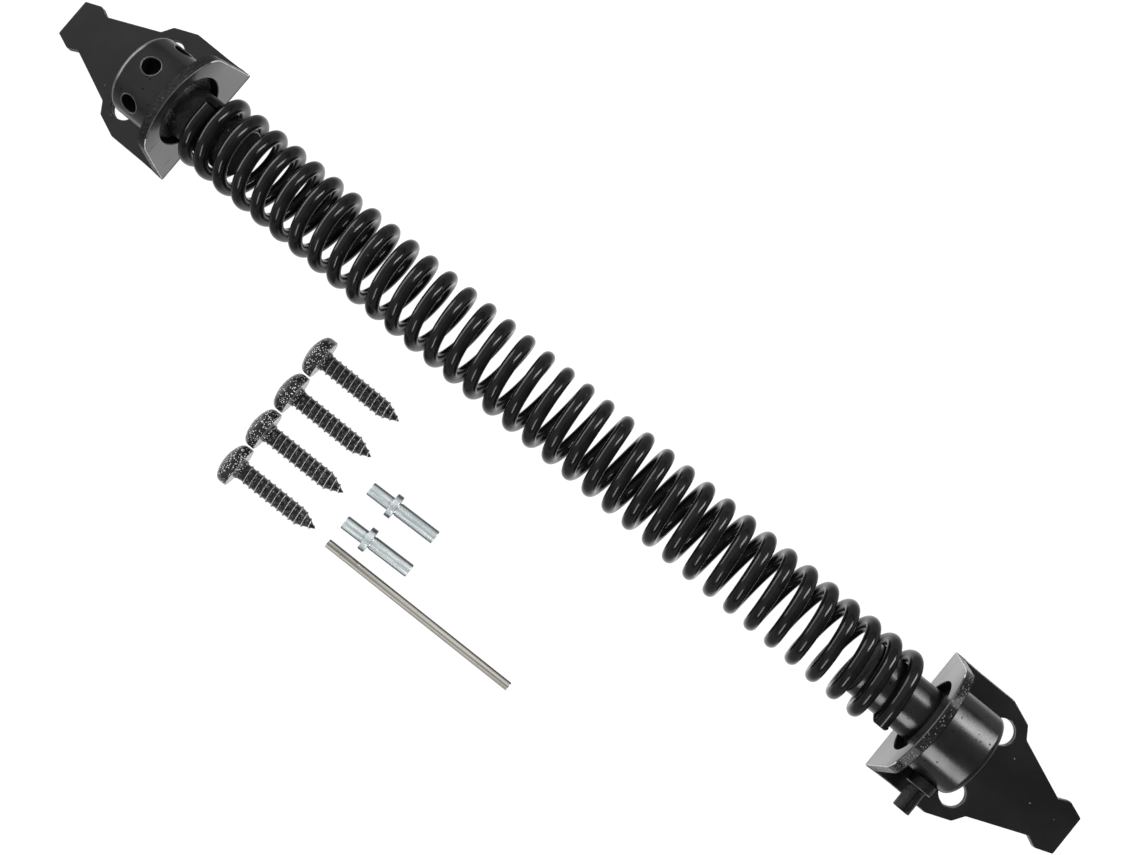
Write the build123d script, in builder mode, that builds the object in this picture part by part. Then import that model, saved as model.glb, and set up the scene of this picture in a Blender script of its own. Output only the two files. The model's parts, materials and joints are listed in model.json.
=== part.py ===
from build123d import *
import math
import os

# Self-closing gate hinge, laid out with its fixing kit, in millimetres.
# The origin is on the back of the post leaf, midway between its two screw holes.
# +X runs along the hinge axis towards the gate leaf, +Z is away from the wall side.

# Whole hinge
leaf_to_leaf = 292.0        # between the two lines of screw holes
axis_height = 15.4          # hinge axis above the back of the leaves
mid_x = leaf_to_leaf / 2

# Stamped brackets
plate_t = 2.8
tip_reach = 29.0            # from the screw line to the end of the tip
tip_half = 5.85
barb_x, barb_half = 24.4, 7.65
notch_x, notch_half = 21.4, 6.2
waist_x, waist_half = 6.2, 12.7
shoulder_x, shoulder_half = 4.1, 16.0
wide_x, wide_half = -2.6, 18.75
screw_hole_r = 3.6
screw_hole_y = 10.3
flange_reach = 21.5         # from the screw line back to the face of the upright flange
flange_top = 29.0
flange_shoulder = (15.3, 21.8)
flange_corner_r = 9.0
flange_hole_r = 10.7
bend_outer_r = 1.6
bend_inner_r = 0.5
bulge_r = 1.3               # metal squeezed out sideways at the ends of the bend
bulge_reach = 0.45

# Spools
barrel_r = 12.05
post_barrel_length = 14.0
gate_barrel_length = 13.3
barrel_edge_r = 1.8
face_gap = 0.3              # between the barrel and the flange
pilot_r = 10.63
pilot_length = 0.8          # how far the pilot goes into the flange hole
neck_r = 7.6
plug_end_from_mid = 105.5
plug_chamfer = 0.9
wind_hole_r = 2.6
wind_hole_depth = 6.5       # short of where neighbouring holes would meet
wind_hole_from_face = 7.2
wind_hole_count = 6
wind_hole_phase = 11.6      # first hole, degrees from straight up towards +Y
lug_root = 4.0              # heights and runs of the lug from where the wire leaves its last arc
lug_top = 9.4
lug_flat = 1.6
lug_back = 8.0
lug_toe = (2.9, 2.9)
lug_length = 4.4
lug_shift = 0.9             # towards the flange, clear of the next turn of wire

# Slotted stop pin in the gate spool, distances from the hinge axis
stop_pin_r = 2.4
stop_pin_foot = 5.0
stop_pin_reach = 21.8
stop_collar_r = 3.6
stop_collar_near = 11.9
stop_collar_far = 14.9
stop_seat_r = 3.8
stop_slot_width = 0.5
stop_slot_depth = 0.6
stop_chamfer = 0.3

# Torsion spring, wound right-handed
wire_d = 3.8
coil_outer_d = 23.4
coil_pitch = 6.696
first_crest_from_mid = -113.8
full_turns = 34
tail_left_deg = 294.3       # wire before the first crest
tail_right_deg = 143.0      # wire after the last crest
square_from_deg = -100.0    # the first turn is squared off before this turn
square_over_deg = 80.0
lug_gap = 0.55

# Loose kit on the surface in front of the hinge
screw_count = 4
screw_step = 12.28
screw_drift = 0.42
screw_heading = 0.45        # degrees from +X towards +Y
screw_tip_from_mid = (-28.95, -28.36)
screw_length = 26.0         # under the head
screw_thread_r = 2.85
screw_core_r = 2.25
screw_pitch = 1.92
screw_crests = 12
screw_point = 5.3
first_thread = 2.05
thread_half_width = 0.45
collar_under_head_r = 2.8
collar_under_head_l = 0.9
head_r = 5.93
head_h = 4.8
dome_middle = (0.27, 2.4)   # drop from the top of the head, and radius there
dome_edge = (1.05, 4.7)
corner_middle = (1.75, 5.55)
side_from = 2.9
recess_depth = 2.4
recess_width = 1.15
recess_reach = 3.0
recess_taper = 12
pin_count = 2
pin_step = 11.3
pin_drift = 0.42
pin_collar_from_mid = (-14.81, -46.66)
pin_heading = 2.2
pin_r = 1.97
pin_short = 7.0
pin_long = 13.1
pin_collar_r = 3.55
pin_collar_t = 1.85
pin_undercut = 0.15
pin_undercut_l = 0.6
pin_chamfer = 0.3
rod_from_mid = (-22.7, -66.0)
rod_heading = 1.93
rod_length = 62.5
rod_r = 1.25
rod_chamfer = 0.25

os.makedirs("parts", exist_ok=True)


def save(part, name):
    part.label = name
    export_step(part, f"parts/{name}.step")


# Brackets: end is -1 for the post side and +1 for the gate side
def leaf_outline(end, x_screws):
    half = [(tip_reach, tip_half), (barb_x, barb_half), (notch_x, notch_half), (waist_x, waist_half),
            (shoulder_x, shoulder_half), (wide_x, wide_half), (-flange_reach, wide_half)]
    upper = [(x_screws + end * x, y) for x, y in half]
    lower = [(x, -y) for x, y in reversed(upper)]
    return upper + lower


def make_bracket(end, x_screws):
    face_x = x_screws - end * flange_reach
    inner_x = face_x + end * plate_t
    shoulder_y, shoulder_z = flange_shoulder
    with BuildPart() as bracket:
        with BuildSketch(Plane.XY):
            Polygon(*leaf_outline(end, x_screws), align=None)
        extrude(amount=plate_t)
        with BuildSketch(Plane.YZ.offset(face_x)) as flange:
            with BuildLine():
                Polyline((-shoulder_y, shoulder_z), (-wide_half, plate_t), (-wide_half, 0),
                         (wide_half, 0), (wide_half, plate_t), (shoulder_y, shoulder_z))
                ThreePointArc((shoulder_y, shoulder_z), (0, flange_top), (-shoulder_y, shoulder_z))
            make_face()
            shoulders = flange.vertices().filter_by_position(Axis.Z, shoulder_z - 0.01, shoulder_z + 0.01)
            fillet(shoulders, flange_corner_r)
        extrude(amount=end * plate_t)
        across = bracket.edges().filter_by(Axis.Y)
        outside = across.filter_by_position(Axis.Z, -0.01, 0.01)
        fillet(outside.filter_by_position(Axis.X, face_x - 0.01, face_x + 0.01), bend_outer_r)
        across = bracket.edges().filter_by(Axis.Y)
        inside = across.filter_by_position(Axis.Z, plate_t - 0.01, plate_t + 0.01)
        fillet(inside.filter_by_position(Axis.X, inner_x - 0.01, inner_x + 0.01), bend_inner_r)
        with BuildSketch(Plane.YZ.offset(face_x)):
            with Locations((0, axis_height)):
                Circle(flange_hole_r)
        extrude(amount=end * plate_t, mode=Mode.SUBTRACT)
        with BuildSketch(Plane.XY):
            with Locations((x_screws, screw_hole_y), (x_screws, -screw_hole_y)):
                Circle(screw_hole_r)
        extrude(amount=plate_t, mode=Mode.SUBTRACT)
        with BuildSketch(Plane.XZ.offset(-wide_half - bulge_reach)):
            with Locations((face_x + end * bend_outer_r, bend_outer_r)):
                Circle(bulge_r)
        extrude(amount=2 * (wide_half + bulge_reach))
    return bracket.part


save(make_bracket(-1, 0.0), "post_bracket")
save(make_bracket(1, leaf_to_leaf), "gate_bracket")


# Path of the spring wire: turn is in degrees from the first crest on the +Y side
def wire_x(turn):
    steady = mid_x + first_crest_from_mid + coil_pitch * max(turn, square_from_deg) / 360
    past = min(max(square_from_deg - turn, 0.0), square_over_deg)
    return steady - coil_pitch / 360 * (past - past ** 2 / (2 * square_over_deg))


def wire_point(turn):
    angle = math.radians(turn)
    return Vector(wire_x(turn), coil_r * math.cos(angle), axis_height + coil_r * math.sin(angle))


def wire_tangent(turn):
    step = 0.01
    return (wire_point(turn + step) - wire_point(turn - step)).normalized()


def add_biarc(start, start_dir, end, end_dir):
    """Two tangent arcs from start to end, for the open line builder."""
    gap = end - start
    both = start_dir + end_dir
    spread = 2 * (1 - start_dir.dot(end_dir))
    root = math.sqrt(gap.dot(both) ** 2 + spread * gap.dot(gap))
    reach = (root - gap.dot(both)) / spread
    before = start + start_dir * reach
    after = end - end_dir * reach
    middle = (before + after) * 0.5
    TangentArc(start, middle, tangent=start_dir)
    TangentArc(middle, end, tangent=after - before)


coil_r = (coil_outer_d - wire_d) / 2
straight_deg = math.degrees(wire_d / coil_r)
wire_start = straight_deg - tail_left_deg
wire_end = 360 * full_turns + tail_right_deg - straight_deg


# Spools: one casting each, with barrel, pilot, neck and a lug for the end of the wire
def lug_corners(turn, way):
    """Section of the lug beyond the wire end at this turn; way is how the wire runs on."""
    angle = math.radians(turn)
    near = wire_d + lug_gap
    corners = []
    for rise, run in [(lug_root, near), (lug_top, near), (lug_back, near + lug_flat),
                      (lug_toe[0], near + lug_toe[1])]:
        across = rise * math.cos(angle) - way * run * math.sin(angle)
        up = rise * math.sin(angle) + way * run * math.cos(angle)
        corners.append((across, axis_height + up))
    return corners


def hole_plane(x, degrees, distance):
    """Plane square to a radial hole, degrees from straight up towards +Y."""
    angle = math.radians(degrees)
    out = Vector(0, math.sin(angle), math.cos(angle))
    return Plane(origin=Vector(x, 0, axis_height) + out * distance, x_dir=(1, 0, 0), z_dir=out)


def make_spool(end, barrel_length, turn, holes, hole_r, seat):
    face = mid_x - flange_reach + plate_t + face_gap
    profile = [(plug_end_from_mid, 0), (plug_end_from_mid, neck_r), (face - face_gap - pilot_length, neck_r),
               (face - face_gap - pilot_length, pilot_r), (face, pilot_r), (face, barrel_r),
               (face + barrel_length, barrel_r), (face + barrel_length, 0)]
    hole_x = mid_x + end * (face + wind_hole_from_face)
    with BuildPart() as spool:
        with BuildSketch(Plane.XZ):
            Polygon(*[(mid_x + end * x, axis_height + r) for x, r in profile], align=None)
        revolve(axis=Axis((0, 0, axis_height), (1, 0, 0)))
        rims = spool.edges().filter_by(GeomType.CIRCLE)
        outer_x = mid_x + end * (face + barrel_length)
        fillet(rims.filter_by_position(Axis.X, outer_x - 0.01, outer_x + 0.01), barrel_edge_r)
        plug_x = mid_x + end * plug_end_from_mid
        rims = spool.edges().filter_by(GeomType.CIRCLE)
        chamfer(rims.filter_by_position(Axis.X, plug_x - 0.01, plug_x + 0.01), plug_chamfer)
        with BuildSketch(Plane.YZ.offset(wire_x(turn) + end * lug_shift - lug_length / 2)):
            Polygon(*lug_corners(turn, end), align=None)
        extrude(amount=lug_length)
        for degrees in holes:
            with BuildSketch(hole_plane(hole_x, degrees, barrel_r - wind_hole_depth)):
                Circle(hole_r)
            extrude(amount=2 * wind_hole_depth, mode=Mode.SUBTRACT)
            if seat:
                with BuildSketch(hole_plane(hole_x, degrees, stop_collar_near)):
                    Circle(stop_seat_r)
                extrude(amount=stop_seat_r, mode=Mode.SUBTRACT)
    return spool.part


wind_holes = [wind_hole_phase + 360 / wind_hole_count * i for i in range(wind_hole_count)]
save(make_spool(-1, post_barrel_length, wire_start, wind_holes, wind_hole_r, False), "winding_spool")
save(make_spool(1, gate_barrel_length, wire_end, [-90.0], stop_pin_r, True), "gate_spool")


# Stop pin, pressed into the gate spool and pointing along -Y
stop_x = leaf_to_leaf - flange_reach + plate_t + face_gap + wind_hole_from_face
stop_axis = Axis((stop_x, 0, axis_height), (0, -1, 0))
slot_plane = Plane(origin=(stop_x, -stop_collar_far, axis_height), x_dir=(1, 0, 0), z_dir=(0, -1, 0))
with BuildPart() as stop_pin:
    with BuildSketch(Plane(origin=(stop_x, 0, axis_height), x_dir=(0, -1, 0), z_dir=(0, 0, 1))):
        Polygon((stop_pin_foot, 0), (stop_pin_foot, stop_pin_r), (stop_collar_near, stop_pin_r),
                (stop_collar_near, stop_collar_r), (stop_collar_far, stop_collar_r),
                (stop_collar_far, stop_pin_r), (stop_pin_reach, stop_pin_r), (stop_pin_reach, 0), align=None)
    revolve(axis=stop_axis)
    with BuildSketch(slot_plane):
        with Locations((0, stop_pin_r)):
            Rectangle(stop_slot_width, 2 * stop_slot_depth)
    extrude(amount=stop_pin_reach - stop_collar_far, mode=Mode.SUBTRACT)
    ends = stop_pin.edges().filter_by_position(Axis.Y, -stop_pin_reach - 0.01, 0.01 - stop_pin_reach)
    chamfer(ends.filter_by(GeomType.CIRCLE), stop_chamfer)
save(stop_pin.part, "stop_pin")


# Torsion spring: one wire on arcs of a quarter turn, straight for one wire diameter at each end
stations = [wire_start] + [90 * i for i in range(math.ceil(wire_start / 90), math.floor(wire_end / 90) + 1)]
stations.append(wire_end)
with BuildPart() as torsion_spring:
    with BuildLine() as wire_path:
        Line(wire_point(wire_start) - wire_tangent(wire_start) * wire_d, wire_point(wire_start))
        for here, there in zip(stations, stations[1:]):
            add_biarc(wire_point(here), wire_tangent(here), wire_point(there), wire_tangent(there))
        Line(wire_point(wire_end), wire_point(wire_end) + wire_tangent(wire_end) * wire_d)
    with BuildSketch(Plane(origin=wire_path.line @ 0, z_dir=wire_tangent(wire_start))):
        Circle(wire_d / 2)
    sweep(path=wire_path.wire())
save(torsion_spring.part, "torsion_spring")

# Least gap between neighbouring turns, on points of the wire's centre line every few degrees
sample_step = 15
samples = [wire_start + sample_step * i for i in range(int((wire_end - wire_start) / sample_step) + 1)]
pairs = [(a, b) for a in samples for b in samples if 180 < b - a < 540]
least = min((wire_point(a) - wire_point(b)).length for a, b in pairs)
wire_length = wire_path.wire().length
swept = torsion_spring.part.volume / (math.pi * wire_d ** 2 / 4 * wire_length)
print(f"spring: {(wire_end - wire_start) / 360:.2f} turns, {wire_length:.0f} mm of wire, "
      f"least gap {least - wire_d:.2f} mm, volume ratio {swept:.4f}")


# Loose kit: x_dir of the plane runs along the piece, z_dir is level
def lying_plane(start, heading, droop):
    turn = math.radians(heading)
    drop = math.radians(droop)
    along = Vector(math.cos(turn) * math.cos(drop), math.sin(turn) * math.cos(drop), -math.sin(drop))
    level = Vector(math.sin(turn), -math.cos(turn), 0)
    return Plane(origin=start, x_dir=along, z_dir=level)


def thread_profile():
    """Half section from under the head to the point, one ring for each crest of the thread."""
    points = [(0, head_r), (0, collar_under_head_r), (collar_under_head_l, collar_under_head_r)]
    for i in range(screw_crests):
        crest = first_thread + screw_pitch * i
        left = min(1.0, (screw_length - crest) / screw_point)
        valley_r = left * screw_core_r
        crest_r = max(left * screw_thread_r, valley_r + screw_thread_r - screw_core_r)
        points += [(crest - thread_half_width, valley_r), (crest, crest_r),
                   (crest + thread_half_width, valley_r)]
    return points + [(screw_length, 0)]


def make_screw(tip_x, tip_y):
    tilt = math.atan((head_r - screw_thread_r) / (screw_length - screw_point))
    level_reach = screw_length * math.cos(tilt)
    turn = math.radians(screw_heading)
    start = (tip_x - level_reach * math.cos(turn), tip_y - level_reach * math.sin(turn),
             head_r * math.cos(tilt))
    plane = lying_plane(start, screw_heading, math.degrees(tilt))
    with BuildPart() as screw:
        with BuildSketch(plane):
            with BuildLine():
                Line((screw_length, 0), (-head_h, 0))
                edge = (dome_edge[0] - head_h, dome_edge[1])
                side = (side_from - head_h, head_r)
                ThreePointArc((-head_h, 0), (dome_middle[0] - head_h, dome_middle[1]), edge)
                ThreePointArc(edge, (corner_middle[0] - head_h, corner_middle[1]), side)
                Polyline(side, *thread_profile())
            make_face()
        revolve(axis=Axis(plane.origin, plane.x_dir))
        top = Plane(origin=plane.origin - plane.x_dir * head_h, x_dir=plane.y_dir, z_dir=plane.x_dir)
        with BuildSketch(top):
            Rectangle(2 * recess_reach, recess_width)
            Rectangle(recess_width, 2 * recess_reach)
        extrude(amount=recess_depth, taper=recess_taper, mode=Mode.SUBTRACT)
    return screw.part


for i in range(screw_count):
    tip = (mid_x + screw_tip_from_mid[0] + screw_drift * i, screw_tip_from_mid[1] - screw_step * i)
    save(make_screw(*tip), f"screw_{i + 1}")


def make_tension_pin(collar_x, collar_y):
    tilt = math.atan((pin_collar_r - pin_r) / pin_long)
    half_collar = pin_collar_t / 2
    lift = pin_collar_r * math.cos(tilt) + half_collar * math.sin(tilt)
    plane = lying_plane((collar_x, collar_y, lift), pin_heading, math.degrees(tilt))
    short_end = -half_collar - pin_short
    long_end = half_collar + pin_long
    necked_r = pin_r - pin_undercut
    with BuildPart() as pin:
        with BuildSketch(plane):
            Polygon((short_end, 0), (short_end, pin_r - pin_chamfer), (short_end + pin_chamfer, pin_r),
                    (-half_collar, pin_r), (-half_collar, pin_collar_r), (half_collar, pin_collar_r),
                    (half_collar, necked_r), (half_collar + pin_undercut_l, necked_r),
                    (half_collar + pin_undercut_l + pin_undercut, pin_r), (long_end - pin_chamfer, pin_r),
                    (long_end, pin_r - pin_chamfer), (long_end, 0), align=None)
        revolve(axis=Axis(plane.origin, plane.x_dir))
    return pin.part


for i in range(pin_count):
    centre = (mid_x + pin_collar_from_mid[0] + pin_drift * i, pin_collar_from_mid[1] - pin_step * i)
    save(make_tension_pin(*centre), f"tension_pin_{i + 1}")

rod_plane = lying_plane((mid_x + rod_from_mid[0], rod_from_mid[1], rod_r), rod_heading, 0)
with BuildPart() as tension_rod:
    with BuildSketch(rod_plane):
        Rectangle(rod_length, rod_r, align=(Align.MIN, Align.MIN))
    revolve(axis=Axis(rod_plane.origin, rod_plane.x_dir))
    chamfer(tension_rod.edges().filter_by(GeomType.CIRCLE), rod_chamfer)
save(tension_rod.part, "tension_rod")
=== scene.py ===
# Torsion-spring gate hinge with its fixing kit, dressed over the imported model.
import json
import math

import bmesh
import bpy
from mathutils import Matrix, Vector

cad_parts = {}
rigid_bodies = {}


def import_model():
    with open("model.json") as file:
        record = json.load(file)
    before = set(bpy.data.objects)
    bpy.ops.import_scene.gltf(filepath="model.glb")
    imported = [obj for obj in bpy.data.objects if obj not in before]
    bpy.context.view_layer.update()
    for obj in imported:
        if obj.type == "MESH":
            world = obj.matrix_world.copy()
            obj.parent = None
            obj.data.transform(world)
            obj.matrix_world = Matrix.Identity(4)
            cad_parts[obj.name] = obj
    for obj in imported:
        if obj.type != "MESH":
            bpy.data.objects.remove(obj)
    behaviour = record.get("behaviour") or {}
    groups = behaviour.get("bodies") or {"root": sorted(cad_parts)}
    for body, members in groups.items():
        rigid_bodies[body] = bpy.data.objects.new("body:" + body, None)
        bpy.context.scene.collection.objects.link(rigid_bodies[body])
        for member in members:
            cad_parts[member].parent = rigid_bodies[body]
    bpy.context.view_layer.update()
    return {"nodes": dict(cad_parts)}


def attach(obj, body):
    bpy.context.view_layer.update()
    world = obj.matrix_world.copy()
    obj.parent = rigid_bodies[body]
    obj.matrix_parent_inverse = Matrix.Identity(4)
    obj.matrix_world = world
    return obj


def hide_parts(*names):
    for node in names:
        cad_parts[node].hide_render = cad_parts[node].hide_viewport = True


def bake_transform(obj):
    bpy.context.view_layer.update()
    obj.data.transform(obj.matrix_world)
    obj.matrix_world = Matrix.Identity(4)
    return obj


mm = 0.001

for spare in list(bpy.data.objects):
    bpy.data.objects.remove(spare)
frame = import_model()
print("frame loaded:", len(frame["nodes"]), "solids")


# Small helpers for node trees

class Flow:
    # what comes out of a node, ready to stand in a formula
    def __init__(self, tree, node, label=0):
        self.tree = tree
        self.node = node
        self.label = label

    def other(self, label):
        return Flow(self.tree, self.node, label)

    def calc(self, operation, *values):
        return addNode(self.tree, "ShaderNodeMath", [self, *values], operation=operation)

    def remap(self, low, high, toLow, toHigh):
        return addNode(self.tree, "ShaderNodeMapRange", [self, low, high, toLow, toHigh])

    def __add__(self, value):
        return self.calc("ADD", value)

    def __sub__(self, value):
        return self.calc("SUBTRACT", value)

    def __mul__(self, value):
        return self.calc("MULTIPLY", value)

    def __truediv__(self, value):
        return self.calc("DIVIDE", value)


def plug(tree, value, socket):
    if isinstance(value, Flow):
        tree.links.new(value.node.outputs[value.label], socket)
    else:
        socket.default_value = value


nodeStep = 180  # how far apart the nodes of a tree lie in its editor


def addNode(tree, kind, inputs=(), **settings):
    # inputs is a list in the order of the sockets, or a dictionary by their names or places
    node = tree.nodes.new(kind)
    node.location = (nodeStep * len(tree.nodes), 0)
    for key, value in settings.items():
        setattr(node, key, value)
    for key, value in inputs.items() if isinstance(inputs, dict) else enumerate(inputs):
        plug(tree, value, node.inputs[key])
    return Flow(tree, node)


def newTree(name, kind, inputs, outputs):
    # a Length is a number that growMesh takes in millimetres
    tree = bpy.data.node_groups.new(name, kind)
    for way, sockets in (("INPUT", inputs), ("OUTPUT", outputs)):
        for label, form in sockets.items():
            plain = "Float" if form == "Length" else form
            socket = tree.interface.new_socket(name=label, in_out=way, socket_type="NodeSocket" + plain)
            if form == "Length":
                socket.subtype = "DISTANCE"
    source = addNode(tree, "NodeGroupInput")
    return tree, source.other, tree.nodes.new("NodeGroupOutput").inputs[0]


# Surface effects that several finishes share

effects = {
    "lumpDetail": 2.0, "gritDetail": 4.0, "gritFiner": 4.3, "rubDetail": 6.0, "rubRoughness": 0.62,
    "contrastGain": 0.3, "contrastFrom": 0.2
}


def addNoise(tree, vector, scale, detail, roughness=0.5):
    return addNode(tree, "ShaderNodeTexNoise",
                   {"Vector": vector, "Scale": scale, "Detail": detail, "Roughness": roughness})


def makeSkinGroup():
    # lumpy skin of sprayed paint over a casting or a torn edge
    inputs = {"Vector": "Vector", "Scale": "Float", "Grit": "Float"}
    tree, value, result = newTree("paintSkin", "ShaderNodeTree", inputs, {"Height": "Float"})
    lumps = addNoise(tree, value("Vector"), value("Scale"), effects["lumpDetail"])
    grit = addNoise(tree, value("Vector"), value("Scale") * effects["gritFiner"], effects["gritDetail"])
    plug(tree, lumps + grit * value("Grit"), result)
    return tree


def stretched(tree, value):
    return addNode(tree, "ShaderNodeVectorMath", [value("Vector"), value("Stretch")], operation="MULTIPLY")


def makeSpeckGroup():
    # scattered pinhead specks, such as dust in the paint, and painted glints on the torn rim
    inputs = {"Vector": "Vector", "Scale": "Float", "Stretch": "Vector", "Share": "Float", "Radius": "Float"}
    tree, value, result = newTree("paintSpecks", "ShaderNodeTree", inputs, {"Mask": "Float"})
    cells = addNode(tree, "ShaderNodeTexVoronoi",
                    {"Vector": stretched(tree, value), "Scale": value("Scale")})
    near = cells.calc("LESS_THAN", value("Radius"))
    pick = addNode(tree, "ShaderNodeSeparateColor", [cells.other("Color")])
    plug(tree, near * pick.calc("LESS_THAN", value("Share")), result)
    return tree


def makeRubGroup():
    # soft patches and fine scuffs from handling
    inputs = {"Vector": "Vector", "Scale": "Float", "Stretch": "Vector", "Contrast": "Float"}
    tree, value, result = newTree("handlingRub", "ShaderNodeTree", inputs, {"Mask": "Float"})
    noise = addNoise(tree, stretched(tree, value), value("Scale"), effects["rubDetail"],
                     effects["rubRoughness"])
    low = value("Contrast").calc("MULTIPLY_ADD", effects["contrastGain"], effects["contrastFrom"])
    high = low.calc("MULTIPLY_ADD", -1.0, 1.0)
    plug(tree, noise.remap(low, high, 0.0, 1.0), result)
    return tree


skinGroup = makeSkinGroup()
speckGroup = makeSpeckGroup()
rubGroup = makeRubGroup()


def toColor(value):
    # a lone number is a grey
    if isinstance(value, Flow):
        return value
    return (*value, 1.0) if isinstance(value, tuple) else (value, value, value, 1.0)


def mixColors(tree, mask, first, second):
    # a Mix node keeps its color sockets at places 6 and 7, and the mixed color at 2
    return addNode(tree, "ShaderNodeMix", {0: mask, 6: toColor(first), 7: toColor(second)},
                   data_type="RGBA").other(2)


# Scales are per metre. A coat is its weight and roughness, a skin its scale and grit, a bump its strength
# and its depth in mm, and specks are their scale, share, radius and color
finishes = {
    "blackPaint": {
        "dark": (0.0045, 0.0045, 0.005), "light": (0.008, 0.008, 0.0085), "rub": 70.0,
        "roughness": (0.16, 0.26), "coat": (0.5, 0.14), "skin": (2200.0, 0.25), "bump": (0.12, 0.02),
        "specks": (700.0, 0.04, 0.15, 0.16), "satin": (0.25, 0.65)},
    # the torn rim's light specks are painted glints
    "tornRim": {
        "dark": (0.0005, 0.0005, 0.0006), "light": (0.012, 0.012, 0.013), "rub": 1100.0,
        "roughness": (0.12, 0.28), "coat": (0.25, 0.12), "skin": (850.0, 0.5), "bump": (1.0, 2.6),
        "specks": (2200.0, 0.30, 0.40, 0.26), "ior": 1.4},
    "sawnRim": {
        "dark": (0.001, 0.001, 0.0012), "light": (0.009, 0.009, 0.0095), "rub": 700.0,
        "roughness": (0.24, 0.38), "coat": (0.0, 0.2), "skin": (1200.0, 0.6), "bump": (1.0, 0.6),
        "specks": (1700.0, 0.06, 0.28, 0.12), "ior": 1.3},
    "boreBlack": {
        "dark": 0.002, "light": 0.004, "rub": 400.0, "roughness": (0.5, 0.6), "coat": (0.0, 0.2),
        "skin": (900.0, 0.4), "bump": (0.3, 0.05), "specks": (900.0, 0.04, 0.2, 0.02), "ior": 1.2},
    "flangeFace": {
        "dark": 0.012, "light": 0.030, "rub": 500.0, "stretch": (1.0, 0.05, 1.0),
        "roughness": (0.12, 0.24), "coat": (0.65, 0.10), "skin": (1600.0, 0.4), "bump": (0.35, 0.08),
        "specks": (1500.0, 0.05, 0.30, 0.002), "speckStretch": (1.0, 0.06, 1.0), "pits": 0.75, "ior": 1.8},
    "blackCasting": {
        "dark": (0.0045, 0.0045, 0.005), "light": (0.009, 0.009, 0.0095), "rub": 150.0,
        "roughness": (0.20, 0.29), "coat": (0.3, 0.25), "skin": (700.0, 0.35), "bump": (0.22, 0.05),
        "specks": (900.0, 0.10, 0.24, 0.002), "pits": 0.85},
    "roughNeck": {
        "dark": (0.003, 0.003, 0.0035), "light": (0.009, 0.009, 0.0095), "rub": 300.0,
        "roughness": (0.14, 0.26), "coat": (0.0, 0.18), "skin": (900.0, 0.6), "bump": (1.0, 0.27),
        "specks": (1100.0, 0.06, 0.2, 0.10), "ior": 1.45},
    # painted reflection: light grey ring under the screw head where it mirrors the white floor
    "paintedSeatReflection": {
        "dark": 0.34, "light": 0.55, "rub": 500.0, "roughness": (0.2, 0.3), "coat": (0.5, 0.2),
        "skin": (2200.0, 0.4), "bump": (0.3, 0.03), "specks": (2400.0, 0.08, 0.3, 0.05)},
    # lighter grey edges: partly thin worn paint, partly a painted highlight
    "wornEdgeAndHighlight": {
        "dark": 0.035, "light": 0.08, "rub": 400.0, "roughness": (0.3, 0.4), "coat": (0.6, 0.2),
        "skin": (900.0, 0.4), "bump": (0.3, 0.05), "specks": (900.0, 0.05, 0.2, 0.02)},
    # painted highlight: near-white bevel faces along the flange's edges
    "paintedEdgeHighlight": {
        "dark": 0.45, "light": 0.95, "rub": 500.0, "roughness": (0.3, 0.4), "coat": (0.6, 0.2),
        "skin": (900.0, 0.4), "bump": (0.3, 0.05), "specks": (1300.0, 0.25, 0.4, 0.01)},
    "blackSpring": {
        "dark": (0.004, 0.004, 0.0045), "light": (0.010, 0.010, 0.0105), "rub": 220.0,
        "roughness": (0.13, 0.20), "coat": (0.0, 0.1), "skin": (1400.0, 0.3), "bump": (0.25, 0.03),
        "specks": (500.0, 0.05, 0.14, 0.05), "ior": 1.42},
    "blackScrew": {
        "dark": (0.004, 0.004, 0.0045), "light": 0.012, "rub": 900.0, "roughness": (0.25, 0.45),
        "coat": (0.3, 0.2), "skin": (2600.0, 0.7), "bump": (0.9, 0.08), "specks": (3300.0, 0.24, 0.44, 1.0)},
    # the thread's crests carry bare metal, stronger on the upward side: partly wear, partly a painted
    # highlight
    "screwThread": {
        "dark": (0.003, 0.003, 0.0035), "light": 0.010, "rub": 2000.0, "roughness": (0.25, 0.45),
        "coat": (0.2, 0.2), "skin": (2600.0, 0.7), "bump": (0.5, 0.05),
        "specks": (3300.0, 0.08, 0.35, 0.35), "crest": (1.0, 1.0, 0.98)},
    # zinc plate and bare steel carry painted shade, darker towards their sides and faintly along the top
    "zincPlate": {
        "dark": (0.62, 0.73, 0.75), "light": (0.97, 1.0, 1.0), "rub": 1500.0, "stretch": (0.06, 1.0, 1.0),
        "turn": 2.2, "roughness": (0.18, 0.30), "coat": (0.0, 0.1), "skin": (1700.0, 0.6),
        "bump": (0.35, 0.04), "specks": (2400.0, 0.10, 0.35, (0.42, 0.48, 0.50)), "metallic": 0.40,
        "sides": (0.05, 0.06, 0.065), "paintedTopShade": 0.3},
    "bareSteel": {
        "dark": (0.40, 0.38, 0.34), "light": (1.0, 0.96, 0.88), "rub": 1000.0,
        "stretch": (0.015, 1.0, 1.0), "turn": 1.93, "roughness": (0.10, 0.20), "coat": (0.0, 0.1),
        "skin": (1900.0, 0.3), "bump": (0.2, 0.03), "specks": (1500.0, 0.03, 0.2, (0.2, 0.17, 0.13)),
        "metallic": 0.6, "sides": (0.04, 0.036, 0.03), "paintedTopShade": 0.55},
    "cutSteel": {
        "dark": 0.20, "light": (0.45, 0.45, 0.44), "rub": 1500.0, "roughness": (0.25, 0.4),
        "coat": (0.0, 0.1), "skin": (2500.0, 0.5), "bump": (0.4, 0.03), "specks": (1500.0, 0.1, 0.3, 0.1),
        "metallic": 1.0}
}
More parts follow.
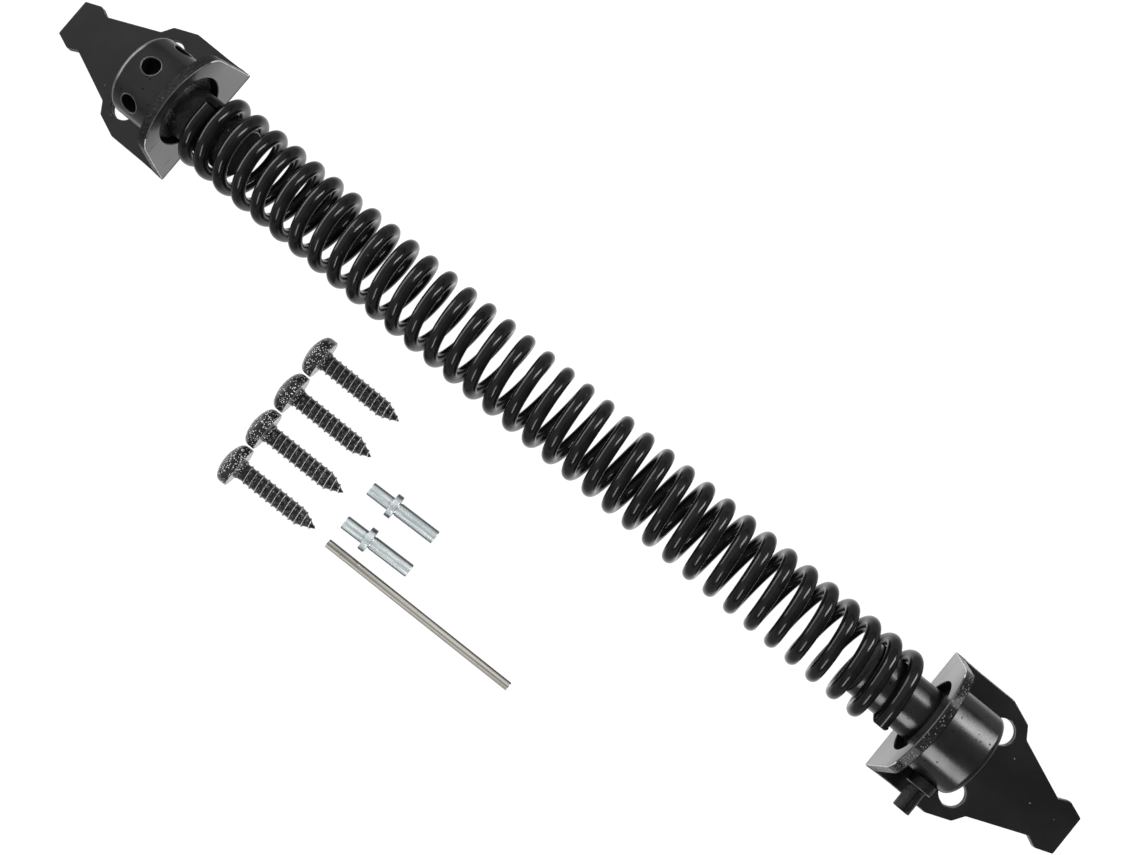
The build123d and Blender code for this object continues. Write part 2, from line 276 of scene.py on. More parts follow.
# where the painted side and top shade on drawn metal and the bare metal on a thread's crest, partly a
# painted highlight, begin and are full
wearAndPaintedLight = {
    "contrast": 0.5, "paintedSideShade": (0.66, 0.84), "paintedTopShade": (0.06, 0.28), "bareAndHighlightCrest": (0.66, 0.86),
    "patches": (0.15, 0.45, 0.15, 1.0), "crestMetallic": 0.5, "specular": 0.5, "ior": 1.5
}
evenly = (1.0, 1.0, 1.0)


def makeFinish(name):
    look = finishes[name]
    material = bpy.data.materials.new(name)
    material.use_nodes = True
    tree = material.node_tree
    turn = (0.0, 0.0, math.radians(-look.get("turn", 0.0)))
    coords = addNode(tree, "ShaderNodeTexCoord").other("Object")
    vector = addNode(tree, "ShaderNodeMapping", {"Vector": coords, "Rotation": turn})

    def placeGroup(group, **values):
        return addNode(tree, "ShaderNodeGroup", {"Vector": vector, **values}, node_tree=group)

    rub = placeGroup(rubGroup, Scale=look["rub"], Stretch=look.get("stretch", evenly),
                     Contrast=wearAndPaintedLight["contrast"])
    speckScale, share, radius, speckColor = look["specks"]
    specks = placeGroup(speckGroup, Scale=speckScale, Stretch=look.get("speckStretch", evenly), Share=share,
                        Radius=radius)
    skinScale, grit = look["skin"]
    skin = placeGroup(skinGroup, Scale=skinScale, Grit=grit)
    color = mixColors(tree, rub, look["dark"], look["light"])
    color = mixColors(tree, specks, color, speckColor)
    metallic = look.get("metallic", 0.0)
    if "sides" in look:
        # painted shade: the metal is darker low on its sides and faintly darker along the top
        across = addNode(tree, "ShaderNodeAttribute", attribute_name="across").other("Fac")
        paintedSideShade = across.remap(*wearAndPaintedLight["paintedSideShade"], 0.0, 1.0)
        paintedShade = paintedSideShade + across.remap(*wearAndPaintedLight["paintedTopShade"], look["paintedTopShade"], 0.0)
        color = mixColors(tree, paintedShade, color, look["sides"])
    if "crest" in look:
        # bare metal on the thread's crests, partly wear and partly a painted highlight on the upward side
        wornAndHighlight = addNode(tree, "ShaderNodeAttribute", attribute_name="crest").other("Fac")
        bareAndHighlight = wornAndHighlight.remap(*wearAndPaintedLight["bareAndHighlightCrest"], 0.0, 1.0) * rub.remap(*wearAndPaintedLight["patches"])
        color = mixColors(tree, bareAndHighlight, color, look["crest"])
        metallic = bareAndHighlight * wearAndPaintedLight["crestMetallic"]
    strength, depth = look["bump"]
    bump = addNode(tree, "ShaderNodeBump", {"Strength": strength, "Distance": depth * mm, "Height": skin})
    shine = specks.calc("MULTIPLY_ADD", -look.get("pits", 0.0), 1.0)
    if "satin" in look:
        # satin paint loses its gloss along the surface, so a flat leaf doesn't turn into a mirror there
        facing = addNode(tree, "ShaderNodeLayerWeight").other("Facing")
        shine = shine * facing.remap(*look["satin"], 1.0, 0.0)
    coat, coatRoughness = look["coat"]
    sockets = {"Base Color": color, "Roughness": rub.remap(0.0, 1.0, *look["roughness"]), "Normal": bump,
               "Metallic": metallic, "Coat Weight": shine * coat, "Coat Roughness": coatRoughness,
               "Specular IOR Level": shine * wearAndPaintedLight["specular"], "IOR": look.get("ior", wearAndPaintedLight["ior"])}
    for label, value in sockets.items():
        plug(tree, value, tree.nodes["Principled BSDF"].inputs[label])
    return material


materials = {name: makeFinish(name) for name in finishes}
print("finishes made:", len(materials))


# Helpers for meshes

def newObject(name, data):
    obj = bpy.data.objects.new(name, data)
    bpy.context.scene.collection.objects.link(obj)
    return obj


def bakeModifiers(obj):
    # turns the object's modifiers into a plain mesh
    graph = bpy.context.evaluated_depsgraph_get()
    graph.update()
    mesh = bpy.data.meshes.new_from_object(obj.evaluated_get(graph))
    obj.modifiers.clear()
    old = obj.data
    obj.data = mesh
    bpy.data.meshes.remove(old)
    mesh.name = obj.name


def formToObject(form, name):
    bmesh.ops.recalc_face_normals(form, faces=form.faces)
    mesh = bpy.data.meshes.new(name)
    form.to_mesh(mesh)
    form.free()
    return newObject(name, mesh)


def paint(obj, *names):
    for name in names:
        obj.data.materials.append(materials[name])


def evenShading(obj):
    obj.data.shade_smooth()
    smooth = obj.modifiers.new("evenShading", "WEIGHTED_NORMAL")
    smooth.keep_sharp = False
    bakeModifiers(obj)


def softenEdges(obj, width, angle=35, segments=3):
    bevel = obj.modifiers.new("softEdge", "BEVEL")
    bevel.width = width * mm
    bevel.segments = segments
    bevel.limit_method = "ANGLE"
    bevel.angle_limit = math.radians(angle)
    evenShading(obj)


weldReach = 0.06  # mm, closes the slivers that a cut leaves


def cutAway(obj, cutter):
    cut = obj.modifiers.new("cut", "BOOLEAN")
    cut.operation = "DIFFERENCE"
    cut.solver = "EXACT"
    cut.object = cutter
    weld = obj.modifiers.new("weld", "WELD")
    weld.merge_threshold = weldReach * mm
    bakeModifiers(obj)
    bpy.data.objects.remove(cutter)
    obj.data.materials.clear()
    obj.data.polygons.foreach_set("material_index", [0] * len(obj.data.polygons))


def joinInto(obj, other):
    shift = len(obj.data.materials)
    for material in other.data.materials:
        obj.data.materials.append(material)
    form = bmesh.new()
    form.from_mesh(obj.data)
    own = len(form.faces)
    form.from_mesh(other.data)
    form.faces.ensure_lookup_table()
    for face in form.faces[own:]:
        face.material_index += shift
    form.to_mesh(obj.data)
    form.free()
    bpy.data.objects.remove(other)


nearlyStraight = math.pi - 0.01
nothing = 1e-6


def roundOff(points, radii, stepAngle=12.0):
    # an open outline with its corners rounded; a radius of 0 keeps the corner
    rounded = [Vector(points[0])]
    for before, corner, after, radius in zip(points, points[1:], points[2:], radii[1:]):
        corner = Vector(corner)
        toBefore = (Vector(before) - corner).normalized()
        toAfter = (Vector(after) - corner).normalized()
        opening = toBefore.angle(toAfter)
        if radius == 0 or opening > nearlyStraight:
            rounded.append(corner)
            continue
        reach = radius / math.tan(opening / 2)
        center = corner + (toBefore + toAfter).normalized() * (radius / math.sin(opening / 2))
        first = corner + toBefore * reach - center
        sweep = math.pi - opening
        side = 1 if first.x * (-toBefore.y) - first.y * (-toBefore.x) > 0 else -1
        steps = max(2, round(math.degrees(sweep) / stepAngle))
        for i in range(steps + 1):
            angle = side * sweep * i / steps
            turned = Vector((first.x * math.cos(angle) - first.y * math.sin(angle),
                             first.x * math.sin(angle) + first.y * math.cos(angle)))
            rounded.append(center + turned)
    return rounded + [Vector(points[-1])]


def turnOnLathe(name, outline, columns):
    # outline is (place along X, radius); radius 0 at both ends closes the piece
    form = bmesh.new()
    rings = []
    for along, radius in outline:
        angles = [math.tau * i / columns for i in range(columns if radius > nothing else 1)]
        rings.append([form.verts.new((along * mm, radius * mm * math.cos(a), radius * mm * math.sin(a)))
                      for a in angles])
    for one, two in zip(rings, rings[1:]):
        for i in range(columns):
            corners = [one[i % len(one)], one[(i + 1) % len(one)],
                       two[(i + 1) % len(two)], two[i % len(two)]]
            unique = list(dict.fromkeys(corners))
            if len(unique) > 2:
                form.faces.new(unique)
    return formToObject(form, name)


def placePiece(obj, node, body):
    if body:
        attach(obj, body)
    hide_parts(node)


# Torsion spring: one wire on a helix, squared at the post end, with a short straight run at each end

springLook = {
    "coilRadius": 9.8, "wireRadius": 1.9, "pitch": 6.696, "firstCrestX": 32.2, "axisHeight": 15.4,
    "firstTurn": -294.3, "lastTurn": 12383.0, "straightTurn": 22.217, "squareFrom": -100.0,
    "squareOver": 80.0, "stepsPerTurn": 104, "wireSides": 26, "twistFromX": 31.0, "twistToX": 262.0,
    "sharpAngle": 50
}


def growthTree(name, lengths, numbers, counts):
    inputs = {**dict.fromkeys(lengths.split(), "Length"), **dict.fromkeys(numbers.split(), "Float"),
              **dict.fromkeys(counts.split(), "Int"), "finish": "Material"}
    return newTree(name, "GeometryNodeTree", inputs, {"Geometry": "Geometry"})


def makeCoilTree():
    tree, value, result = growthTree("coiledWire", "coilRadius wireRadius pitch firstCrestX axisHeight",
                                     "firstTurn lastTurn straightTurn squareFrom squareOver",
                                     "steps wireSides")
    line = addNode(tree, "GeometryNodeMeshLine", {"Count": value("steps")})
    index = addNode(tree, "GeometryNodeInputIndex")
    turn = index.remap(0.0, value("steps") - 1.0, value("firstTurn"), value("lastTurn"))
    low = value("firstTurn") + value("straightTurn")
    high = value("lastTurn") - value("straightTurn")
    onCoil = turn.calc("MAXIMUM", low).calc("MINIMUM", high)
    angle = onCoil.calc("RADIANS")
    over = (turn - onCoil).calc("RADIANS")
    cosine = angle.calc("COSINE")
    sine = angle.calc("SINE")
    sideways = cosine - over * sine
    upward = sine + over * cosine
    past = (value("squareFrom") - turn).calc("MAXIMUM", 0.0).calc("MINIMUM", value("squareOver"))
    eased = past * past / (value("squareOver") * 2.0)
    advance = turn.calc("MAXIMUM", value("squareFrom")) - past + eased
    along = value("pitch") * (advance / 360.0)
    point = addNode(tree, "ShaderNodeCombineXYZ",
                    [along + value("firstCrestX"), value("coilRadius") * sideways,
                     value("coilRadius").calc("MULTIPLY_ADD", upward, value("axisHeight"))])
    moved = addNode(tree, "GeometryNodeSetPosition", {"Geometry": line, "Position": point})
    path = addNode(tree, "GeometryNodeMeshToCurve", [moved])
    ring = addNode(tree, "GeometryNodeCurvePrimitiveCircle",
                   {"Resolution": value("wireSides"), "Radius": value("wireRadius")})
    swept = addNode(tree, "GeometryNodeCurveToMesh",
                    {"Curve": path, "Profile Curve": ring, "Fill Caps": True})
    endTree(tree, swept, value("finish"), result)
    return tree


def endTree(tree, geometry, finish, result):
    real = addNode(tree, "GeometryNodeRealizeInstances", [geometry])
    plug(tree, addNode(tree, "GeometryNodeSetMaterial", {"Geometry": real, "Material": finish}), result)


def growMesh(name, tree, values):
    # runs a geometry tree with these inputs and keeps what it makes as a plain mesh
    obj = newObject(name, bpy.data.meshes.new(name))
    grower = obj.modifiers.new("grow", "NODES")
    grower.node_group = tree
    for item in tree.interface.items_tree:
        if item.in_out == "INPUT":
            isLength = getattr(item, "subtype", "") == "DISTANCE"
            grower[item.identifier] = values[item.name] * mm if isLength else values[item.name]
    bakeModifiers(obj)
    return obj


def makeSpring():
    look = springLook
    steps = round((look["lastTurn"] - look["firstTurn"]) / 360 * look["stepsPerTurn"])
    spring = growMesh("torsionSpring", makeCoilTree(),
                      {**look, "steps": steps, "finish": materials["blackSpring"]})
    paint(spring, "cutSteel")
    for face in spring.data.polygons:
        if len(face.vertices) > 4:
            face.material_index = 1  # the sheared ends of the wire
    spring.data.shade_smooth()
    spring.data.set_sharp_from_angle(angle=math.radians(look["sharpAngle"]))
    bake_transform(spring)
    placePiece(spring, "torsion_spring", None)


makeSpring()
print("spring wound")


# Brackets: one plate cut flat, folded up at the bend. Across is half widths, along is measured from the
# screw line towards the bend on the leaf, and upwards on the flange. The flange bulges beside the bend

bracketLook = {
    "plate": 2.8, "bendAt": 21.5, "outerBend": 1.6, "innerBend": 0.5, "edge": 0.30,
    "leaf": [(-29, 0), (-29, 5.85), (-24.4, 7.65), (-21.4, 6.2), (-6.2, 12.7), (-4.1, 16.0), (2.6, 18.75)],
    "leafCorners": [0, 0.5, 0.7, 0.9, 1.2, 1.0, 1.4], "shoulder": (15.3, 21.8), "top": 29.0,
    "shoulderRound": 9.0, "shoulderSteps": 14, "topSteps": 20, "screwHole": 3.6, "screwHoleY": 10.3,
    "screwHoleSides": 48, "spoolHole": 10.7, "spoolHoleZ": 15.4, "spoolHoleSides": 96, "rimAngle": 60,
    "bulge": 0.45, "bulgeReach": 2.2, "bulgeFrom": 15, "bulgeOver": 4, "bulgeFade": 0.55,
    "wornAndHighlightSlant": (0.2, 0.8), "rimSlant": 0.5, "level": 1e-4
}
# the bend as rows of the flat plate: where the leaf ends, the arc starts and ends, and the flange starts
foldRows = {
    "leafEnd": 14.0, "arcStart": 16.0, "arcEnd": 18.0, "flangeStart": 20.0, "flangeFromZ": 4.3,
    "arcRows": 8
}


def arcPoints(x, y, radius, start, end, steps):
    angles = [start + (end - start) * i / steps for i in range(steps + 1)]
    return [Vector((x + radius * math.cos(a), y + radius * math.sin(a))) for a in angles]


def flatOutline():
    look, fold = bracketLook, foldRows
    lift = fold["flangeStart"] - fold["flangeFromZ"]
    shoulderY, shoulderZ = look["shoulder"]
    wide = look["leaf"][-1][1]
    slope = (wide - shoulderY) / (shoulderZ - look["plate"])
    points = [*look["leaf"], (fold["arcEnd"], wide),
              (fold["flangeStart"], wide - slope * (fold["flangeFromZ"] - look["plate"]))]
    # the top is an arc through the shoulders, rounded into the sides
    rise = look["top"] - shoulderZ
    arcRadius = (shoulderY ** 2 + rise ** 2) / (2 * rise)
    arcZ = look["top"] - arcRadius
    sideDir = Vector((shoulderZ - look["plate"], shoulderY - wide)).normalized()
    inward = Vector((sideDir.y, -sideDir.x))
    small = look["shoulderRound"]
    # center of the small rounding: this far inside the side line and this far from the arc's center
    foot = Vector((shoulderZ, shoulderY)) + inward * small
    towards = foot - Vector((arcZ, 0))
    dot = towards.dot(sideDir)
    spread = math.sqrt(max(dot ** 2 - towards.length_squared + (arcRadius - small) ** 2, 0))
    center = foot + sideDir * min(-dot - spread, -dot + spread, key=abs)
    startAngle = math.atan2(-inward.y, -inward.x)
    meet = (center - Vector((arcZ, 0))).normalized()
    endAngle = math.atan2(meet.y, meet.x)
    side = roundOff(points, [*look["leafCorners"], 0, 0])
    side += arcPoints(center.x + lift, center.y, small, startAngle, endAngle, look["shoulderSteps"])
    side += arcPoints(arcZ + lift, 0, arcRadius, endAngle, 0, look["topSteps"])[1:]
    return side + [Vector((p.x, -p.y)) for p in reversed(side[1:-1])]


def foldPoint(along, across, depth):
    # depth is 0 on the outside of the bend and 1 on the inside
    look, fold = bracketLook, foldRows
    ends = []
    for curl, foot in ((look["outerBend"], 0.0), (look["innerBend"], look["plate"])):
        reach = look["bendAt"] - foot - curl
        if along <= fold["leafEnd"]:
            ends.append((along, foot))
        elif along <= fold["arcStart"]:
            share = (along - fold["leafEnd"]) / (fold["arcStart"] - fold["leafEnd"])
            ends.append((fold["leafEnd"] + share * (reach - fold["leafEnd"]), foot))
        elif along <= fold["arcEnd"]:
            a = (along - fold["arcStart"]) / (fold["arcEnd"] - fold["arcStart"]) * math.pi / 2
            ends.append((reach + curl * math.sin(a), foot + curl * (1 - math.cos(a))))
        elif along <= fold["flangeStart"]:
            share = (along - fold["arcEnd"]) / (fold["flangeStart"] - fold["arcEnd"])
            low = foot + curl
            ends.append((reach + curl, low + share * (fold["flangeFromZ"] - low)))
        else:
            ends.append((reach + curl, along - fold["flangeStart"] + fold["flangeFromZ"]))
    x, z = (outer * (1 - depth) + inner * depth for outer, inner in zip(*ends))
    middle = (fold["arcStart"] + fold["arcEnd"]) / 2
    near = max(0.0, 1 - ((along - middle) / look["bulgeReach"]) ** 2)
    swell = look["bulge"] * near ** 2 * max(0.0, (abs(across) - look["bulgeFrom"]) / look["bulgeOver"])
    return x, across + math.copysign(swell * (1 - look["bulgeFade"] * depth), across), z


def makeBracket(node, end, screwX, rimFinish):
    look, fold = bracketLook, foldRows
    form = bmesh.new()
    holeRow = fold["flangeStart"] + look["spoolHoleZ"] - fold["flangeFromZ"]
    holes = [(0, look["screwHoleY"], look["screwHole"], look["screwHoleSides"]),
             (0, -look["screwHoleY"], look["screwHole"], look["screwHoleSides"]),
             (holeRow, 0, look["spoolHole"], look["spoolHoleSides"])]
    loops = [flatOutline()] + [arcPoints(x, y, r, 0, math.tau, sides)[:-1] for x, y, r, sides in holes]
    edges = []
    for loop in loops:
        corners = [form.verts.new((p.x, p.y, 0)) for p in loop]
        edges += [form.edges.new((a, b)) for a, b in zip(corners, corners[1:] + corners[:1])]
    bmesh.ops.triangle_fill(form, use_beauty=True, use_dissolve=False, edges=edges)
    top = bmesh.ops.extrude_face_region(form, geom=form.faces[:])
    raised = [v for v in top["geom"] if isinstance(v, bmesh.types.BMVert)]
    bmesh.ops.translate(form, verts=raised, vec=(0, 0, look["plate"]))
    bmesh.ops.recalc_face_normals(form, faces=form.faces)
    rims = [e for e in form.edges if e.is_manifold and e.calc_face_angle() > math.radians(look["rimAngle"])
            and abs(e.verts[0].co.z - e.verts[1].co.z) < look["level"]]
    bmesh.ops.bevel(form, geom=rims, offset=look["edge"], segments=3, profile=0.5, affect="EDGES",
                    clamp_overlap=False)
    arc = fold["arcEnd"] - fold["arcStart"]
    rows = [fold["leafEnd"]]
    rows += [fold["arcStart"] + arc * i / fold["arcRows"] for i in range(fold["arcRows"] + 1)]
    rows += [(fold["arcEnd"] + fold["flangeStart"]) / 2, fold["flangeStart"]]
    for row in rows:
        bmesh.ops.bisect_plane(form, geom=form.verts[:] + form.edges[:] + form.faces[:],
                               plane_co=(row, 0, 0), plane_no=(1, 0, 0))
    # the edges of the face towards the spring get lighter worn paint, partly a painted highlight, and a
    # near-white painted highlight on the slanted sides; rims get the torn or sawn finish, the spool hole is
    # matt, and the face towards the spring is brushed
    rim, brushed, bore, bright, wornAndHighlight = range(1, 6)
    low, high = look["wornAndHighlightSlant"]
    for face in form.faces:
        center = face.calc_center_median()
        inHole = math.hypot(center.x - holeRow, center.y) < look["spoolHole"] + look["edge"]
        towardsSpring = center.x > fold["arcEnd"] and center.z < look["plate"] / 2 and not inHole
        slant = abs(face.normal.z)
        if towardsSpring and low < slant < high:
            face.material_index = bright if abs(face.normal.y) > abs(face.normal.x) else wornAndHighlight
        elif slant < look["rimSlant"]:
            face.material_index = bore if inHole else rim
        elif towardsSpring:
            face.material_index = brushed
    for v in form.verts:
        along, across, up = v.co
        x, y, z = foldPoint(along, across, up / look["plate"])
        v.co = ((screwX - end * x) * mm, y * mm, z * mm)
    obj = formToObject(form, node + "Plate")
    paint(obj, "blackPaint", rimFinish, "flangeFace", "boreBlack", "paintedEdgeHighlight", "wornEdgeAndHighlight")
    evenShading(obj)
    placePiece(obj, node, node)


makeBracket("post_bracket", -1, 0.0, "sawnRim")
makeBracket("gate_bracket", 1, 292.0, "tornRim")
print("brackets folded")


# Spools: a turned casting with barrel, pilot and neck, radial holes, and a lug for the end of the wire

spoolLook = {
    "middle": 146.0, "axisHeight": 15.4, "face": 127.6, "plugEnd": 105.5, "neck": 7.6, "pilot": 10.63,
    "pilotEnd": 126.5, "barrel": 12.05, "barrelEdge": 1.8, "plugEdge": 0.9, "neckRoot": 2.2,
    "pilotEdge": 0.25, "faceEdge": 0.3, "holeFromFace": 7.2, "columns": 144, "holeEdge": 0.12,
    "holeSides": 48, "bead": 0.22, "beadSides": 12, "beadOut": 0.6, "beadIn": 0.75,
    "wornAndHighlightSlant": (0.25, 0.85), "plugFace": 0.08, "plugRim": 0.40,
    "windingSpool": {
        "node": "winding_spool", "end": -1, "length": 14.0, "holes": 6, "phase": 11.6, "radius": 2.6,
        "depth": 6.5, "neckFinish": 1, "wornAndHighlightEnd": True, "wireTurn": -272.083, "wireX": 29.597},
    "gateSpool": {
        "node": "gate_spool", "end": 1, "length": 13.3, "holes": 1, "phase": -90.0, "radius": 3.8,
        "depth": 0.9, "neckFinish": 0, "wornAndHighlightEnd": False, "wireTurn": 12360.783, "wireX": 262.111}
}
lugLook = {
    "gap": 4.35, "length": 4.4, "shift": 0.9, "edge": 0.75,
    "section": [(4.0, 0.0), (9.4, 0.0), (8.0, 1.6), (2.9, 2.9)]
}


def addDrill(tree, value):
    drill = addNode(tree, "GeometryNodeMeshCylinder",
                    {"Vertices": spoolLook["holeSides"], "Radius": value("radius"), "Depth": value("depth")})
    outwards = addNode(tree, "ShaderNodeCombineXYZ", {2: value("distance")})
    return addNode(tree, "GeometryNodeSetPosition", {"Geometry": drill, "Offset": outwards})


def addRing(tree, value):
    # a bead that follows the mouth of the hole over the round of the barrel
    circle = addNode(tree, "GeometryNodeCurvePrimitiveCircle",
                     {"Resolution": spoolLook["holeSides"], "Radius": value("radius")})
    side = addNode(tree, "ShaderNodeSeparateXYZ", [addNode(tree, "GeometryNodeInputPosition")]).other(1)
    height = (value("distance") * value("distance") - side * side).calc("SQRT")
    outwards = addNode(tree, "ShaderNodeCombineXYZ", {2: height})
    raised = addNode(tree, "GeometryNodeSetPosition", {"Geometry": circle, "Offset": outwards})
    bead = addNode(tree, "GeometryNodeCurvePrimitiveCircle",
                   {"Resolution": spoolLook["beadSides"], "Radius": value("depth")})
    return addNode(tree, "GeometryNodeCurveToMesh", {"Curve": raised, "Profile Curve": bead})


def makeRadialTree(name, addShape):
    # the same shape at even steps around the axis of a spool
    tree, value, result = growthTree(name, "radius depth distance along height", "phase", "count")
    points = addNode(tree, "GeometryNodeMeshLine", {"Count": value("count")})
    center = addNode(tree, "ShaderNodeCombineXYZ", {0: value("along"), 2: value("height")})
    gathered = addNode(tree, "GeometryNodeSetPosition", {"Geometry": points, "Position": center})
    step = addNode(tree, "ShaderNodeMath", [360.0, value("count")], operation="DIVIDE")
    degrees = addNode(tree, "GeometryNodeInputIndex").calc("MULTIPLY_ADD", step, value("phase"))
    turn = addNode(tree, "ShaderNodeCombineXYZ", [degrees.calc("RADIANS") * -1.0])
    copies = addNode(tree, "GeometryNodeInstanceOnPoints",
                     {"Points": gathered, "Instance": addShape(tree, value), "Rotation": turn})
    endTree(tree, copies, value("finish"), result)
    return tree


def makeLug(name, end, turn, x):
    # ramped block beyond the wire end, on the circle of the wire
    angle = math.radians(turn)
    near = (x + end * lugLook["shift"] - lugLook["length"] / 2) * mm
    form = bmesh.new()
    corners = []
    for rise, run in lugLook["section"]:
        run = end * (lugLook["gap"] + run)
        y = rise * math.cos(angle) - run * math.sin(angle)
        z = rise * math.sin(angle) + run * math.cos(angle)
        corners.append(form.verts.new((near, y * mm, z * mm)))
    face = form.faces.new(corners)
    grown = bmesh.ops.extrude_face_region(form, geom=[face])
    moved = [v for v in grown["geom"] if isinstance(v, bmesh.types.BMVert)]
    bmesh.ops.translate(form, verts=moved, vec=(lugLook["length"] * mm, 0, 0))
    lug = formToObject(form, name)
    paint(lug, "boreBlack")
    softenEdges(lug, lugLook["edge"], segments=4)
    return lug


def makeSpool(name):
    look, own = spoolLook, spoolLook[name]
    far = look["face"] + own["length"]
    points = [(look["plugEnd"], 0), (look["plugEnd"], look["neck"]), (look["pilotEnd"], look["neck"]),
              (look["pilotEnd"], look["pilot"]), (look["face"], look["pilot"]),
              (look["face"], look["barrel"]), (far, look["barrel"]), (far, 0)]
    radii = [0, look["plugEdge"], look["neckRoot"], look["pilotEdge"], 0, look["faceEdge"],
             look["barrelEdge"], 0]
    outline = [(look["middle"] + own["end"] * p.x, p.y) for p in roundOff(points, radii)]
    spool = turnOnLathe(name, outline, look["columns"])
    toAxis = Matrix.Translation((0, 0, look["axisHeight"] * mm))
    spool.data.transform(toAxis)
    holeX = look["middle"] + own["end"] * (look["face"] + look["holeFromFace"])
    hole = {"count": own["holes"], "phase": own["phase"], "radius": own["radius"], "depth": 2 * own["depth"],
            "distance": look["barrel"], "along": holeX, "height": look["axisHeight"],
            "finish": materials["wornEdgeAndHighlight"]}
    cutAway(spool, growMesh(name + "Drills", drillTree, hole))
    paint(spool, "blackCasting", "roughNeck", "wornEdgeAndHighlight", "boreBlack")
    softenEdges(spool, look["holeEdge"], angle=40)
    lug = makeLug(name + "Lug", own["end"], own["wireTurn"], own["wireX"])
    lug.data.transform(toAxis)
    neckEnd = (look["middle"] + own["end"] * look["pilotEnd"]) * mm
    plugEnd = (look["middle"] + own["end"] * look["plugEnd"]) * mm
    endRound = (look["middle"] + own["end"] * (far - look["barrelEdge"])) * mm
    # the far end rounding and the plug's rim get lighter worn paint, partly a painted highlight
    wornAndHighlight, bore = 2, 3
    low, high = look["wornAndHighlightSlant"]
    for face in spool.data.polygons:
        outward = own["end"] * face.normal.x
        if own["wornAndHighlightEnd"] and own["end"] * (face.center.x - endRound) > 0 and low < outward < high:
            face.material_index = wornAndHighlight
        if own["end"] * (face.center.x - neckEnd) < 0:
            inset = own["end"] * (face.center.x - plugEnd) / mm
            besideFace = wornAndHighlight if inset < look["plugRim"] else own["neckFinish"]
            face.material_index = bore if inset < look["plugFace"] else besideFace
    joinInto(spool, lug)
    # beads around the holes carry the lighter worn paint, partly a painted highlight
    if own["holes"] > 1:
        rim = dict(hole, radius=own["radius"] + look["bead"] * look["beadOut"], depth=look["bead"],
                   distance=look["barrel"] - look["bead"] * look["beadIn"])
        rings = growMesh(name + "Rings", ringTree, rim)
        rings.data.shade_smooth()
        joinInto(spool, rings)
    placePiece(spool, own["node"], own["node"])


drillTree = makeRadialTree("radialDrills", addDrill)
ringTree = makeRadialTree("mouthRings", addRing)
makeSpool("windingSpool")
makeSpool("gateSpool")

pinLook = {
    "x": 280.8, "radius": 2.4, "foot": 5.0, "reach": 21.8, "collar": 3.6, "collarNear": 11.9,
    "collarFar": 14.9, "nearRound": 0.2, "farRound": 0.35, "endRound": 0.3, "slotWidth": 0.5,
    "slotDepth": 0.6, "cutBeyond": 1, "slotEdge": 0.08, "wornAndHighlightReach": 0.3, "wornAndHighlightFrom": 3.3, "columns": 72
}


def boxForm(low, high):
    form = bmesh.new()
    bmesh.ops.create_cube(form, size=1.0)
    for v in form.verts:
        v.co = [mm * (near + (far - near) * (share + 0.5)) for near, far, share in zip(low, high, v.co)]
    return form


def makeStopPin():
    # turned along X, then laid along -Y
    look = pinLook
    points = [(look["foot"], 0), (look["foot"], look["radius"]), (look["collarNear"], look["radius"]),
              (look["collarNear"], look["collar"]), (look["collarFar"], look["collar"]),
              (look["collarFar"], look["radius"]), (look["reach"], look["radius"]), (look["reach"], 0)]
    radii = [0, look["nearRound"], 0, look["nearRound"], look["farRound"], 0, look["endRound"], 0]
    pin = turnOnLathe("stopPin", roundOff(points, radii), look["columns"])
    half = look["slotWidth"] / 2
    beyond = look["cutBeyond"]
    slot = boxForm((look["collarFar"], -half, look["radius"] - look["slotDepth"]),
                   (look["reach"] + beyond, half, look["radius"] + beyond))
    cutAway(pin, formToObject(slot, "slotCutter"))
    softenEdges(pin, look["slotEdge"], angle=40, segments=2)
    paint(pin, "roughNeck", "wornEdgeAndHighlight")
    # a lighter line on the collar's outer edge: worn paint, partly a painted highlight
    for face in pin.data.polygons:
        fromCollar = abs(face.center.x - look["collarFar"] * mm)
        fromAxis = math.hypot(face.center.y, face.center.z)
        if fromCollar < look["wornAndHighlightReach"] * mm and fromAxis > look["wornAndHighlightFrom"] * mm:
            face.material_index = 1
    place = Matrix.Translation((look["x"] * mm, 0, spoolLook["axisHeight"] * mm))
    pin.data.transform(place @ Matrix.Rotation(-math.pi / 2, 4, "Z"))
    placePiece(pin, "stop_pin", "gate_spool")


makeStopPin()
print("spools and stop pin made")


# Kit: screws with a real helical thread, pins and rod

def lyingMatrix(start, heading, droop):
    # x runs along the piece, z stays up
    return (Matrix.Translation(Vector(start) * mm) @ Matrix.Rotation(math.radians(heading), 4, "Z")
            @ Matrix.Rotation(math.radians(droop), 4, "Y"))


